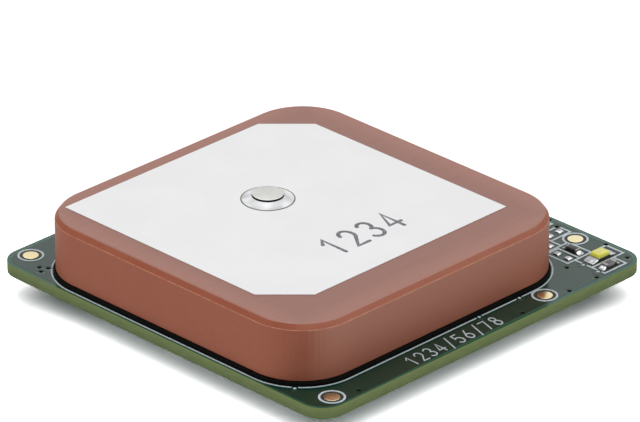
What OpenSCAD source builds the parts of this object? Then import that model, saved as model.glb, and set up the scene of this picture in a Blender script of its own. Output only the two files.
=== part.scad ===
// Satellite receiver module: a ceramic patch antenna on a small circuit board,
// with a shielded receiver and a wire connector on the underside.
// Millimetres, +Z up. The origin is under the middle of the board, on the surface it rests on.

/* [Board] */
// Width of the circuit board, along X
board_w = 30.1; // [27:0.1:40]
// Length of the circuit board, along Y
board_l = 30.1; // [27:0.1:40]
// Thickness of the circuit board
board_t = 0.8; // [0.6:0.1:1.6]
// Radius of the board's corners
board_corner_r = 1.65; // [0.5:0.05:2.4]
// Diameter of the small plated holes
via_d = 0.3; // [0.2:0.05:0.4]

/* [Antenna] */
// Width of bare board beside the ceramic block, along X
antenna_side_gap = 2.55; // [2.55:0.05:6]
// Width of the strip of board behind the block, along Y
antenna_strip = 4.55; // [4.4:0.05:8]
// Height of the ceramic block
antenna_t = 4; // [2:0.5:8]
// Radius of the block's upright edges
antenna_corner_r = 4; // [1:0.5:6]
// Width of the bevel along the block's top edge
antenna_bevel = 0.3; // [0.1:0.05:0.8]
// How far that bevel reaches down the block's sides
antenna_bevel_drop = 0.4; // [0.1:0.05:0.8]
// Gap between the block and the board's -Y edge
antenna_edge_gap = 0.45; // [0.45:0.05:2]
// Offset of the block from the middle of the board, along X
antenna_dx = 0.2; // [-0.5:0.05:0.5]
// Mean width of bare ceramic round the silver square on top
electrode_margin = 2.4; // [2:0.05:4.5]
// Leg of the cut on two of the silver square's corners
electrode_cut = 2.7; // [0.5:0.1:4]
// Thickness of the silver layers
silver_t = 0.04; // [0.03:0.01:0.1]
// Offset of the silver square from the block's middle, along X
electrode_dx = -1.1; // [-1.5:0.05:0]
// Offset of the silver square from the block's middle, along Y
electrode_dy = -0.4; // [-1:0.05:1]
// Width of bare ceramic round the silver layer underneath
ground_margin = 0.3; // [0.2:0.1:1]
// Thickness of the adhesive pad
adhesive_t = 0.26; // [0.1:0.02:0.6]
// How far the adhesive pad reaches past the block
adhesive_lap = 0.15; // [0:0.05:0.18]

/* [Feed pin] */
// Diameter of the pin
pin_d = 0.9; // [0.6:0.05:1]
// Diameter of the pin's head
pin_head_d = 2.1; // [1.6:0.1:2.6]
// Thickness of the pin's head
pin_head_t = 0.15; // [0.1:0.05:0.4]
// Offset of the pin from the block's middle, along X
pin_dx = -2.75; // [-4:0.05:-2]
// Offset of the pin from the block's middle, along Y
pin_dy = -0.4; // [-1:0.05:1]
// Length of the pin below the board
pin_tail = 0.7; // [0.4:0.05:1]
// Outer diameter of the solder ring under the head
solder_ring_d = 3.6; // [3:0.1:4.5]
// Height of the solder ring
solder_ring_h = 0.28; // [0.1:0.02:0.5]
// Gap round the pin in the holes it passes through
pin_clearance = 0.12; // [0.05:0.01:0.2]

/* [Print and pads] */
// Width of the printed lines
silk_line = 0.14; // [0.1:0.01:0.2]
// Thickness of the print
silk_t = 0.03; // [0.02:0.01:0.05]
// Gap between the antenna and the printed ring round it
silk_ring_gap = 0.22; // [0.19:0.01:0.3]
// Width of the printed ring's line
silk_ring_line = 0.1; // [0.08:0.01:0.16]
// Diameter of the gold pads
test_pad_d = 1.05; // [0.8:0.05:1.2]
// Thickness of the gold pads
test_pad_t = 0.035; // [0.02:0.005:0.07]
// Inner diameter of the printed rings round the gold pads
test_ring_d = 1.48; // [1.3:0.02:1.6]

/* [Chips on top] */
// Length of the lamp
led_l = 1.7; // [1.2:0.1:2]
// Width of the lamp
led_w = 0.88; // [0.6:0.02:1]
// Height of the lamp's base
led_base_h = 0.14; // [0.1:0.02:0.4]
// Length of the lamp's lens
led_lens_l = 1.12; // [0.8:0.02:1.2]
// Height of the lamp's lens
led_lens_h = 0.32; // [0.15:0.01:0.6]
// How far the lens's sides lean in
led_lens_draft = 0.1; // [0.02:0.01:0.15]
// Distance of the lamp from the board's +X edge
led_edge_x = 2.37; // [2.3:0.01:3]
// Distance of the lamp from the board's +Y edge
led_edge_y = 2.05; // [1.9:0.05:2.2]
// Length of the small chips
chip_l = 1; // [0.8:0.05:1.1]
// Width of the small chips
chip_w = 0.5; // [0.4:0.05:0.55]
// Height of the small chips
chip_h = 0.28; // [0.25:0.01:0.55]
// Length of a chip's metal end
chip_end = 0.22; // [0.15:0.01:0.3]
// Length of the bead's metal end
bead_end = 0.12; // [0.1:0.01:0.3]
// How far the solder reaches past a chip's end
solder_reach = 0.3; // [0.2:0.02:0.36]
// Thickness of the solder under a chip
solder_t = 0.03; // [0.02:0.01:0.08]
// Crown of a bare tinned pad
bare_pad_h = 0.1; // [0.05:0.01:0.2]

/* [Shield] */
// Distance of the shield from the board's -X edge, with room for the connector
shield_gap_left = 7; // [6.6:0.1:7.5]
// Distance of the shield from the board's +X edge
shield_gap_right = 4; // [3.5:0.1:5]
// Distance of the shield from the board's -Y edge
shield_gap_front = 3.5; // [3:0.1:5]
// Gap between the shield and the backup cell
shield_gap_cell = 0.9; // [0.6:0.1:1.5]
// Height of the shield
shield_h = 2; // [1.8:0.1:4]
// Thickness of the shield's sheet metal
shield_sheet = 0.2; // [0.1:0.05:0.3]
// Gap between the fence and the cover's skirt
shield_fit = 0.03; // [0.02:0.01:0.1]
// Gap between the cover's skirt and the board
skirt_gap = 0.4; // [0.2:0.1:0.6]
// Width of the fence's inner flange
fence_flange = 0.8; // [0.4:0.1:1.2]

/* [Connector] */
// Number of contacts
ways = 6; // [4:1:8]
// Distance between contacts
pitch = 1; // [0.8:0.05:1.25]
// Depth of the housing, along X
connector_d = 4.2; // [3.6:0.1:4.6]
// Height of the housing
connector_h = 1.9; // [1.7:0.1:2.9]
// Thickness of the housing's roof and floor
connector_wall = 0.35; // [0.25:0.05:0.4]
// Thickness of the housing's back wall
connector_back = 0.7; // [0.5:0.1:1]
// Width of a contact
contact_w = 0.3; // [0.2:0.02:0.36]
// Thickness of a contact
contact_t = 0.15; // [0.1:0.01:0.2]

/* [Receiver parts] */
// Side of the receiver chip
receiver_size = 5; // [4:0.5:5.5]
// Height of the receiver chip
receiver_h = 0.6; // [0.5:0.1:1]
// Diameter of the backup cell
cell_d = 4.8; // [4:0.1:5]
// Height of the backup cell
cell_h = 1.2; // [1:0.1:1.4]
// Distance of the backup cell from the board's +Y edge
cell_gap = 0.8; // [0.5:0.1:1.5]
// Length of the regulator's body
regulator_l = 2.9; // [2.5:0.1:3.2]
// Width of the regulator's body
regulator_w = 1.6; // [1.4:0.1:1.8]
// Height of the regulator's body
regulator_h = 1.05; // [0.8:0.05:1.3]
// Height of the capacitors
capacitor_h = 0.5; // [0.3:0.05:0.8]

/* [Hidden] */
$fn = 48;
eps = 0.01;

// Heights of the stack, from the resting surface up
under_h = max(shield_h, connector_h);
board_top = under_h + board_t;
ground_z = board_top + adhesive_t;
ceramic_z = ground_z + silver_t;
electrode_z = ceramic_z + antenna_t;
electrode_top = electrode_z + silver_t;
head_z = electrode_top + solder_ring_h;

// Sizes and places of the antenna and of the pin
antenna_w = board_w - 2 * antenna_side_gap;
antenna_l = board_l - antenna_edge_gap - antenna_strip;
electrode_w = antenna_w - 2 * electrode_margin;
electrode_l = antenna_l - 2 * electrode_margin;
antenna_at = [antenna_dx, (antenna_edge_gap - antenna_strip) / 2];
electrode_at = antenna_at + [electrode_dx, electrode_dy];
pin_at = antenna_at + [pin_dx, pin_dy];
pin_hole_d = pin_d + 2 * pin_clearance;
feed_keepout = 0.7;
feed_keepout_d = pin_hole_d + 2 * feed_keepout;
solder_play = 0.03;
solder_rim = 0.03;
solder_crest = 0.1;

// Solder lands and printed boxes of the chips near the +X +Y corner
silk_end_gap = 0.23;
silk_side_gap = 0.32;
led_end_gap = 0.37;
bare_end_gap = 0.15;
led_shift = 0.06;
bead_drop = 0.1;
led_land = led_l + 2 * solder_reach;
chip_land = chip_l + 2 * solder_reach;
led_box = [led_w + 2 * silk_side_gap, led_land + 2 * led_end_gap];
resistor_box = [chip_w + 2 * silk_side_gap, chip_land + 2 * silk_end_gap];
bead_box = [chip_land + 2 * silk_end_gap, chip_w + 2 * silk_side_gap];
bare_box = [chip_land + 2 * bare_end_gap, chip_w + 2 * silk_side_gap];
led_at = [board_w / 2 - led_edge_x, board_l / 2 - led_edge_y];
led_box_at = led_at - [led_shift, 0];
resistor_at = [
    led_box_at.x + (led_box.x + resistor_box.x) / 2,
    led_box_at.y - (led_box.y - resistor_box.y) / 2
];
bead_box_at = [led_box_at.x - (led_box.x + bead_box.x) / 2, resistor_at.y];
bead_at = bead_box_at - [0, bead_drop];

// Chips that are not fitted: middle, and 0 along X or 1 along Y
bare_closer = 0.05;
bare_pitch = chip_l - bare_closer;
bare_side = chip_w;
bare_row_x = bead_box_at.x - bead_box.x / 2;
bare_row_y = bead_box_at.y - bead_box.y / 2;
bare_drop = 0.12;
bare_column = 1.5;
bare_step = 1.66;
bare_edge_y = 1.7;
bare_at = [
    [[bead_box_at.x + (bead_box.x - bare_box.x) / 2, bare_row_y - bare_box.y / 2], 0],
    [[bare_row_x - bare_box.x / 2, bare_row_y - bare_drop], 0],
    [[bare_row_x - bare_column, board_l / 2 - bare_edge_y], 1],
    [[bare_row_x - bare_column - bare_step, board_l / 2 - bare_edge_y], 1]
];

// Place on the board, as distances in from the corner that the signs name
function from_corner(sign, inset) = [sign.x * (board_w / 2 - inset.x), sign.y * (board_l / 2 - inset.y)];

// Gold pads: two in the front corners, one beside the antenna and one behind it
pad_corners = [
    [[-1, -1], [1.24, 1.9]], [[1, -1], [1.11, 1.91]],
    [[1, 1], [1.18, 8.6]], [[1, 1], [5.27, 1.26]]
];
test_pads_at = [for (pad = pad_corners) from_corner(pad[0], pad[1])];

// Small plated holes
via_corners = [
    [[-1, -1], [2.9, 1.13]], [[-1, -1], [3.4, 1.46]], [[-1, -1], [3.42, 0.79]],
    [[1, 1], [2.85, 4.7]], [[1, 1], [0.53, 4.34]], [[1, 1], [0.48, 7.02]],
    [[1, 1], [1.03, 0.85]], [[1, 1], [3.32, 0.4]], [[1, 1], [7.35, 0.79]],
    [[1, 1], [8.4, 0.4]], [[1, -1], [0.58, 3.74]], [[1, 1], [0.52, 11.4]]
];
vias_at = [for (via = via_corners) from_corner(via[0], via[1])];

// Holes closed by the mask: the print has a gap round every hole, with a dot in it round these
print_gap_d = 0.5;
print_dot_d = 0.22;
closed_corners = [
    [[1, 1], [2.33, 3.69]], [[1, 1], [1, 3.7]], [[1, 1], [2.06, 10.05]],
    [[1, 1], [2.06, 13.81]], [[1, -1], [3.56, 1.06]]
];
closed_vias_at = [for (via = closed_corners) from_corner(via[0], via[1])];

// Shield, measured away from the board
shield_gap_back = cell_gap + cell_d + shield_gap_cell;
shield_w = board_w - shield_gap_left - shield_gap_right;
shield_l = board_l - shield_gap_front - shield_gap_back;
shield_at = [(shield_gap_left - shield_gap_right) / 2, (shield_gap_front - shield_gap_back) / 2];
fence_w = shield_w - 2 * (shield_sheet + shield_fit);
fence_l = shield_l - 2 * (shield_sheet + shield_fit);
fence_h = shield_h - shield_sheet;
fence_corner_r = 0.6;
cover_bend_r = 0.35;
corner_relief = 0.7;
catch_r = 0.35;
catch_depth = 0.2;
catch_hole_d = 0.9;
catch_drop = 0.75;
catch_z = fence_h - catch_drop;
catch_places = [-0.3, 0, 0.3];

// Connector, measured from its mouth and away from the board
connector_end = 1.5;
connector_side_wall = 0.5;
connector_inset = 0.1;
connector_w = (ways - 1) * pitch + 2 * connector_end;
connector_at = [connector_inset - board_w / 2, 0];
slot_play = 0.03;
blade_z = connector_h / 2;
contact_reach = 0.8;
tail_l = 0.7;
tail_gap = 0.1;
key_w = 0.7;
key_depth = 1.6;
anchor_t = 0.2;
anchor_l = 1.6;
anchor_h = 1.1;
anchor_foot = 0.7;

// Receiver parts inside the shield: the chip beside its wall, and the rest between it and the feed pin
receiver_wall_gap = 1.65;
part_gap = 1.2;
saw_size = [1.4, 1.1, 0.5];
amplifier_size = [1.5, 1, 0.55];
oscillator_size = [2, 1.6, 0.5];
crystal_size = [3.2, 1.5, 0.5];
flash_size = [3, 2, 0.55];
can_lid_t = 0.2;
can_lid_inset = 0.15;
receiver_at = [shield_at.x + shield_w / 2 - receiver_wall_gap - receiver_size / 2, pin_at.y];
rf_from = pin_at.x + pin_d;
rf_to = receiver_at.x - receiver_size / 2;
rf_gap = (rf_to - rf_from - saw_size.x - amplifier_size.x) / 3;
saw_at = [rf_from + rf_gap + saw_size.x / 2, pin_at.y];
amplifier_at = [rf_to - rf_gap - amplifier_size.x / 2, pin_at.y];
oscillator_at = receiver_at + [0, receiver_size / 2 + part_gap + oscillator_size.y / 2];
crystal_at = receiver_at - [0, receiver_size / 2 + part_gap + crystal_size.y / 2];
flash_at = [receiver_at.x - receiver_size / 2 - part_gap - flash_size.x / 2, crystal_at.y];

// Parts on the strip beside the shield
strip_y = board_l / 2 - cell_gap - cell_d / 2;
cell_inset = 8.5;
cell_at = [board_w / 2 - cell_inset, strip_y];
cell_bevel = 0.1;
cell_neck = 0.35;
cell_neck_h = 0.3;
tab_w = 1.6;
tab_t = 0.1;
tab_reach = 0.45;
tab_foot = 0.6;
regulator_inset = 11;
regulator_at = [regulator_inset - board_w / 2, strip_y];
regulator_stand = 0.1;
lead_spacing = 0.95;
lead_w = 0.4;
lead_t = 0.12;
lead_reach = 0.6;
lead_shoulder = 0.2;
capacitor_gap = 1.4;
capacitor_side = regulator_l / 2 + capacitor_gap;
beside_receiver = receiver_size / 2 + part_gap / 2;
receiver_pair = 1.7;
beside_rf = 1.5;
beside_connector = 2.4;

// Capacitors: middle, and 0 along X or 1 along Y
capacitors_at = [
    for (sx = [-1, 1], sy = [-1, 1]) [receiver_at + [sx * receiver_pair, sy * beside_receiver], 0],
    for (rf = [saw_at, amplifier_at], sy = [-1, 1]) [rf + [0, sy * beside_rf], 0],
    for (sx = [-1, 1]) [regulator_at + [sx * capacitor_side, 0], 1],
    for (n = [0, 1])
        [connector_at + [connector_d / 2, connector_w / 2 + beside_connector + capacitor_gap * n], 0]
];

// Rounded rectangle about the origin
module rounded_square(w, l, r) {
    square([w - 2 * r, l], center = true);
    square([w, l - 2 * r], center = true);
    for (sx = [-1, 1], sy = [-1, 1])
        translate([sx * (w / 2 - r), sy * (l / 2 - r)])
            circle(r);
}

// Closed outline of even width, measured over its outside
module outline(w, l, r, line) {
    difference() {
        rounded_square(w, l, r);
        rounded_square(w - 2 * line, l - 2 * line, r - line);
    }
}

// Printed box, measured to the middle of its lines
module silk_box(size) {
    difference() {
        square(size + [silk_line, silk_line], center = true);
        square(size - [silk_line, silk_line], center = true);
    }
}

// Block with round upright edges and a bevel along the top edge
module bevelled_block(w, l, h, r, bevel, drop) {
    linear_extrude(h - drop)
        rounded_square(w, l, r);
    translate([0, 0, h - drop]) {
        for (sx = [-1, 1], sy = [-1, 1])
            translate([sx * (w / 2 - r), sy * (l / 2 - r), 0])
                cylinder(h = drop, r1 = r, r2 = r - bevel);
        bevelled_bar(w, l - 2 * r, drop, bevel);
        rotate([0, 0, 90])
            bevelled_bar(l, w - 2 * r, drop, bevel);
    }
}

// Flat bar along Y whose two long sides lean in
module bevelled_bar(across, along, h, bevel) {
    rotate([90, 0, 0])
        linear_extrude(along, center = true)
            polygon([
                [-across / 2, 0], [across / 2, 0],
                [across / 2 - bevel, h], [bevel - across / 2, h]
            ]);
}

// Bar along X with its long top and bottom edges at the ends rounded
module bar(l, w, h, r) {
    translate([0, 0, h / 2])
        rotate([90, 0, 0])
            linear_extrude(w, center = true)
                rounded_square(l, h, r);
}

// Small package: a block with a slight taper above its middle
module package(size) {
    taper = size.z * 0.12;
    rotate([90, 0, 0])
        linear_extrude(size.y, center = true)
            polygon([
                [-size.x / 2, 0], [size.x / 2, 0], [size.x / 2, size.z / 2],
                [size.x / 2 - taper, size.z], [taper - size.x / 2, size.z], [-size.x / 2, size.z / 2]
            ]);
}

// Places a part on top of the board, turned a quarter when turn is 1
module on_top(at, turn = 0) {
    translate([at.x, at.y, board_top])
        rotate([0, 0, 90 * turn])
            children();
}

// Places a part on the underside of the board, with its own Z pointing away from the board
module underneath(at, turn = 0) {
    translate([at.x, at.y, under_h])
        mirror([0, 0, 1])
            rotate([0, 0, 90 * turn])
                children();
}

// Middle part of a chip, a little thinner than its ends
chip_step = 0.015;
module chip_middle(l, w, h, end) {
    translate([0, 0, h / 2])
        cube([l - 2 * end, w - 2 * chip_step, h - 2 * chip_step], center = true);
}

// Both metal ends of a chip
chip_edge_r = 0.04;
module chip_ends(l, w, h, end) {
    difference() {
        bar(l, w, h, chip_edge_r);
        translate([0, 0, h / 2])
            cube([l - 2 * end, w + 1, h + 1], center = true);
    }
}

// Solder under both ends of a chip, with a hollow fillet up each end face
module chip_solder(l, w, h, end) {
    rise = min(solder_reach, h * 0.75);
    for (s = [0, 1])
        mirror([s, 0, 0]) {
            translate([l / 2 - end, -w / 2, 0])
                cube([end + solder_reach, w, solder_t]);
            translate([l / 2, 0, solder_t])
                rotate([90, 0, 0])
                    linear_extrude(w, center = true)
                        difference() {
                            square([rise, rise]);
                            translate([rise + eps, rise + eps])
                                circle(rise);
                        }
        }
}

// Tinned pad with a crowned surface
module bare_pad(side) {
    reach = side / sqrt(2);
    dome_r = (reach * reach + bare_pad_h * bare_pad_h) / (2 * bare_pad_h);
    intersection() {
        translate([0, 0, solder_rim + bare_pad_h - dome_r])
            sphere(dome_r);
        translate([-side / 2, -side / 2, 0])
            cube([side, side, 1]);
    }
}

module circuit_board() {
    color("darkolivegreen")
        translate([0, 0, under_h])
            difference() {
                linear_extrude(board_t)
                    rounded_square(board_w, board_l, board_corner_r);
                for (at = vias_at)
                    translate([at.x, at.y, -1])
                        cylinder(h = board_t + 2, d = via_d);
                translate([pin_at.x, pin_at.y, -1])
                    cylinder(h = board_t + 2, d = pin_hole_d);
            }
}

module silkscreen() {
    ring_out = silk_ring_gap + silk_ring_line;
    ring_w = antenna_w + 2 * ring_out;
    ring_l = antenna_l + 2 * ring_out;
    color("gainsboro")
        translate([0, 0, board_top])
            linear_extrude(silk_t) {
                for (at = test_pads_at)
                    translate(at)
                        difference() {
                            circle(d = test_ring_d + 2 * silk_line);
                            circle(d = test_ring_d);
                        }
                for (at = closed_vias_at)
                    translate(at)
                        circle(d = print_dot_d);
                difference() {
                    union() {
                        translate(antenna_at)
                            outline(ring_w, ring_l, antenna_corner_r + ring_out, silk_ring_line);
                        translate(led_box_at)
                            silk_box(led_box);
                        translate(resistor_at)
                            silk_box(resistor_box);
                        translate(bead_box_at)
                            silk_box(bead_box);
                        for (bare = bare_at)
                            translate(bare[0])
                                rotate([0, 0, 90 * bare[1]])
                                    silk_box(bare_box);
                    }
                    for (at = test_pads_at)
                        translate(at)
                            circle(d = test_ring_d + silk_line);
                    for (at = concat(vias_at, closed_vias_at))
                        translate(at)
                            circle(d = print_gap_d);
                }
            }
}

module test_pads() {
    color("gold")
        for (at = test_pads_at)
            on_top(at)
                cylinder(h = test_pad_t, d = test_pad_d);
}

module antenna_ceramic() {
    color("rosybrown")
        difference() {
            translate([antenna_at.x, antenna_at.y, ceramic_z])
                bevelled_block(
                    antenna_w, antenna_l, antenna_t,
                    antenna_corner_r, antenna_bevel, antenna_bevel_drop
                );
            translate([pin_at.x, pin_at.y, ceramic_z - 1])
                cylinder(h = antenna_t + 2, d = pin_hole_d);
        }
}

module antenna_electrode() {
    x = electrode_w / 2;
    y = electrode_l / 2;
    color("whitesmoke")
        translate([0, 0, electrode_z])
            linear_extrude(silver_t)
                difference() {
                    translate(electrode_at)
                        polygon([
                            [-x, -y], [x - electrode_cut, -y], [x, electrode_cut - y],
                            [x, y], [electrode_cut - x, y], [-x, y - electrode_cut]
                        ]);
                    translate(pin_at)
                        circle(d = pin_hole_d);
                }
}

module antenna_ground_plane() {
    w = antenna_w - 2 * ground_margin;
    l = antenna_l - 2 * ground_margin;
    color("silver")
        translate([0, 0, ground_z])
            linear_extrude(silver_t)
                difference() {
                    translate(antenna_at)
                        rounded_square(w, l, antenna_corner_r - ground_margin);
                    translate(pin_at)
                        circle(d = feed_keepout_d);
                }
}

module adhesive_pad() {
    w = antenna_w + 2 * adhesive_lap;
    l = antenna_l + 2 * adhesive_lap;
    color("black")
        translate([0, 0, board_top])
            linear_extrude(adhesive_t)
                difference() {
                    translate(antenna_at)
                        rounded_square(w, l, antenna_corner_r + adhesive_lap);
                    translate(pin_at)
                        circle(d = feed_keepout_d);
                }
}

module feed_pin() {
    edge = pin_head_t * 0.4;
    tail = under_h - pin_tail;
    head_r = pin_head_d / 2;
    color("silver")
        translate([pin_at.x, pin_at.y, 0])
            rotate_extrude()
                polygon([
                    [0, tail], [pin_d / 2 - edge, tail], [pin_d / 2, tail + edge],
                    [pin_d / 2, head_z], [head_r, head_z], [head_r, head_z + pin_head_t - edge],
                    [head_r - edge, head_z + pin_head_t], [0, head_z + pin_head_t]
                ]);
}

// Hollow curve of a solder fillet: share of the height left at a share of the way out
function fillet_fall(share) = pow(1 - share, 1.8);

// Ring of solder that rises from a flat surface to a pin, in steps along its hollow curve
module solder_cone(inner_r, crest_r, outer_r, h) {
    steps = 6;
    rotate_extrude()
        polygon(concat(
            [[inner_r, 0], [outer_r, 0]],
            [for (k = [steps:-1:0])
                let (out = k / steps)
                [crest_r + (outer_r - crest_r) * out, solder_rim + (h - solder_rim) * fillet_fall(out)]],
            [[inner_r, h]]
        ));
}

module feed_solder_top() {
    color("lightgray")
        translate([pin_at.x, pin_at.y, electrode_top])
            solder_cone(pin_d / 2 + solder_play, pin_head_d / 2, solder_ring_d / 2, solder_ring_h);
}

module feed_solder_bottom() {
    color("lightgray")
        underneath(pin_at)
            solder_cone(pin_d / 2 + solder_play, pin_d / 2 + solder_crest, pin_d, pin_tail * 0.8);
}

module led_base() {
    color("ivory")
        on_top(led_at, 1)
            translate([0, 0, solder_t])
                chip_middle(led_l, led_w, led_base_h, (led_l - led_lens_l) / 2);
}

module led_terminals() {
    color("silver")
        on_top(led_at, 1)
            translate([0, 0, solder_t])
                chip_ends(led_l, led_w, led_base_h, (led_l - led_lens_l) / 2);
}

module led_lens() {
    color("khaki")
        on_top(led_at, 1)
            translate([0, 0, solder_t + led_base_h - chip_step])
                intersection() {
                    bevelled_bar(led_lens_l, led_w + 1, led_lens_h, led_lens_draft);
                    rotate([0, 0, 90])
                        bevelled_bar(led_w, led_lens_l + 1, led_lens_h, led_lens_draft);
                }
}

module chip_resistor_body() {
    color("dimgray")
        on_top(resistor_at, 1)
            translate([0, 0, solder_t])
                chip_middle(chip_l, chip_w, chip_h, chip_end);
}

module chip_resistor_ends() {
    color("silver")
        on_top(resistor_at, 1)
            translate([0, 0, solder_t])
                chip_ends(chip_l, chip_w, chip_h, chip_end);
}

module ferrite_bead_body() {
    color("black")
        on_top(bead_at)
            translate([0, 0, solder_t])
                chip_middle(chip_l, chip_w, chip_h, bead_end);
}

module ferrite_bead_ends() {
    color("silver")
        on_top(bead_at)
            translate([0, 0, solder_t])
                chip_ends(chip_l, chip_w, chip_h, bead_end);
}

module solder_fillets() {
    color("gainsboro") {
        on_top(led_at, 1)
            chip_solder(led_l, led_w, led_base_h, (led_l - led_lens_l) / 2);
        on_top(resistor_at, 1)
            chip_solder(chip_l, chip_w, chip_h, chip_end);
        on_top(bead_at)
            chip_solder(chip_l, chip_w, chip_h, bead_end);
    }
}

module bare_solder_pads() {
    color("gainsboro")
        for (bare = bare_at, s = [-1, 1])
            on_top(bare[0], bare[1])
                translate([s * bare_pitch / 2, 0, 0])
                    bare_pad(bare_side);
}

// Runs its children at the catches along each side of the shield, facing outwards, at a depth inside it
module at_catches(depth) {
    for (turn = [0:3], place = catch_places) {
        across = turn % 2 == 0 ? shield_w : shield_l;
        along = turn % 2 == 0 ? shield_l : shield_w;
        rotate([0, 0, 90 * turn])
            translate([across / 2 - depth, place * along, catch_z])
                children();
    }
}

module shield_fence() {
    inner_w = fence_w - 2 * shield_sheet;
    inner_l = fence_l - 2 * shield_sheet;
    inner_r = fence_corner_r - shield_sheet;
    color("lightsteelblue")
        underneath(shield_at) {
            linear_extrude(fence_h)
                outline(fence_w, fence_l, fence_corner_r, shield_sheet);
            translate([0, 0, fence_h - shield_sheet])
                linear_extrude(shield_sheet)
                    difference() {
                        rounded_square(inner_w + eps, inner_l + eps, inner_r);
                        rounded_square(inner_w - 2 * fence_flange, inner_l - 2 * fence_flange, inner_r);
                    }
            at_catches(shield_sheet + shield_fit + catch_depth)
                sphere(catch_r);
        }
}

// Side view of a shallow pan, open towards its own origin, with rounded far corners
module pan_profile(w, h, r) {
    translate([-w / 2, 0])
        square([w, h - r]);
    translate([r - w / 2, 0])
        square([w - 2 * r, h]);
    for (s = [-1, 1])
        translate([s * (w / 2 - r), h - r])
            circle(r);
}

// Solid pan, rounded along its four far edges
module pan(w, l, h, r) {
    intersection() {
        rotate([90, 0, 0])
            linear_extrude(l, center = true)
                pan_profile(w, h, r);
        rotate([90, 0, 90])
            linear_extrude(w, center = true)
                pan_profile(l, h, r);
    }
}

module shield_cover() {
    skirt_h = shield_h - skirt_gap;
    color("silver")
        underneath(shield_at)
            difference() {
                translate([0, 0, skirt_gap])
                    pan(shield_w, shield_l, skirt_h, cover_bend_r);
                translate([0, 0, skirt_gap - 1])
                    linear_extrude(fence_h - skirt_gap + 1)
                        square([shield_w - 2 * shield_sheet, shield_l - 2 * shield_sheet], center = true);
                for (sx = [-1, 1], sy = [-1, 1])
                    translate([sx * shield_w / 2, sy * shield_l / 2, 0])
                        cube([2 * corner_relief, 2 * corner_relief, 2 * fence_h], center = true);
                at_catches(0)
                    rotate([0, 90, 0])
                        cylinder(h = 4 * shield_sheet, d = catch_hole_d, center = true);
            }
}

module receiver_chip() {
    color("black")
        underneath(receiver_at)
            package([receiver_size, receiver_size, receiver_h]);
}

// Ceramic tray of a crystal, with a notch at each corner
module crystal_tray(size) {
    notch_r = 0.15;
    linear_extrude(size.z)
        difference() {
            square([size.x, size.y], center = true);
            for (sx = [-1, 1], sy = [-1, 1])
                translate([sx * size.x / 2, sy * size.y / 2])
                    circle(notch_r);
        }
}

// Metal lid welded on such a tray
module crystal_cap(size) {
    w = size.x - 2 * can_lid_inset;
    l = size.y - 2 * can_lid_inset;
    translate([0, 0, size.z])
        linear_extrude(can_lid_t)
            rounded_square(w, l, can_lid_inset);
}

module oscillator_base() {
    color("saddlebrown")
        underneath(oscillator_at)
            crystal_tray(oscillator_size);
}

module oscillator_lid() {
    color("goldenrod")
        underneath(oscillator_at)
            crystal_cap(oscillator_size);
}

module watch_crystal_base() {
    color("saddlebrown")
        underneath(crystal_at)
            crystal_tray(crystal_size);
}

module watch_crystal_lid() {
    color("goldenrod")
        underneath(crystal_at)
            crystal_cap(crystal_size);
}

module saw_filter() {
    color("slategray")
        underneath(saw_at)
            package(saw_size);
}

module low_noise_amplifier() {
    color("black")
        underneath(amplifier_at)
            package(amplifier_size);
}

module flash_memory() {
    color("black")
        underneath(flash_at)
            package(flash_size);
}

module regulator_body() {
    color("black")
        underneath(regulator_at)
            translate([0, 0, regulator_stand])
                package([regulator_l, regulator_w, regulator_h]);
}

// Bent lead seen from the side, running out along X from the body's face
module lead_profile() {
    shoulder_z = regulator_stand + regulator_h * 0.4;
    square_from = lead_shoulder - lead_t;
    translate([0, shoulder_z])
        square([lead_shoulder, lead_t]);
    translate([square_from, 0])
        square([lead_t, shoulder_z + lead_t]);
    translate([square_from, 0])
        square([lead_reach - square_from, lead_t]);
}

module regulator_leads() {
    sides = [[1, [-1, 0, 1]], [-1, [-1, 1]]];
    color("silver")
        underneath(regulator_at)
            for (side = sides, place = side[1])
                translate([place * lead_spacing, side[0] * regulator_w / 2, 0])
                    rotate([90, 0, 90 * side[0]])
                        linear_extrude(lead_w, center = true)
                            lead_profile();
}

module backup_cell() {
    r = cell_d / 2;
    neck_r = r - cell_neck;
    color("silver")
        underneath(cell_at)
            translate([0, 0, tab_t])
                rotate_extrude()
                    polygon([
                        [0, 0], [neck_r, 0], [neck_r, cell_neck_h * 0.6], [r, cell_neck_h],
                        [r, cell_h - cell_bevel], [r - cell_bevel, cell_h], [0, cell_h]
                    ]);
}

module backup_cell_tabs() {
    out = cell_d / 2 + tab_reach;
    roof = tab_t + cell_h;
    color("lightgray")
        underneath(cell_at) {
            translate([-out - tab_foot, -tab_w / 2, 0])
                cube([out + tab_foot, tab_w, tab_t]);
            translate([0, -tab_w / 2, roof])
                cube([out, tab_w, tab_t]);
            translate([out - tab_t, -tab_w / 2, 0])
                cube([tab_t, tab_w, roof + tab_t]);
            translate([out - tab_t, -tab_w / 2, 0])
                cube([tab_foot, tab_w, tab_t]);
        }
}

module capacitor_bodies() {
    color("burlywood")
        for (capacitor = capacitors_at)
            underneath(capacitor[0], capacitor[1])
                chip_middle(chip_l, chip_w, capacitor_h, chip_end);
}

module capacitor_ends() {
    color("silver")
        for (capacitor = capacitors_at)
            underneath(capacitor[0], capacitor[1])
                chip_ends(chip_l, chip_w, capacitor_h, chip_end);
}

// Runs its children once for each contact, at the connector's mouth
module at_contacts() {
    underneath(connector_at)
        for (n = [0:ways - 1])
            translate([0, (n - (ways - 1) / 2) * pitch, 0])
                children();
}

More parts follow.
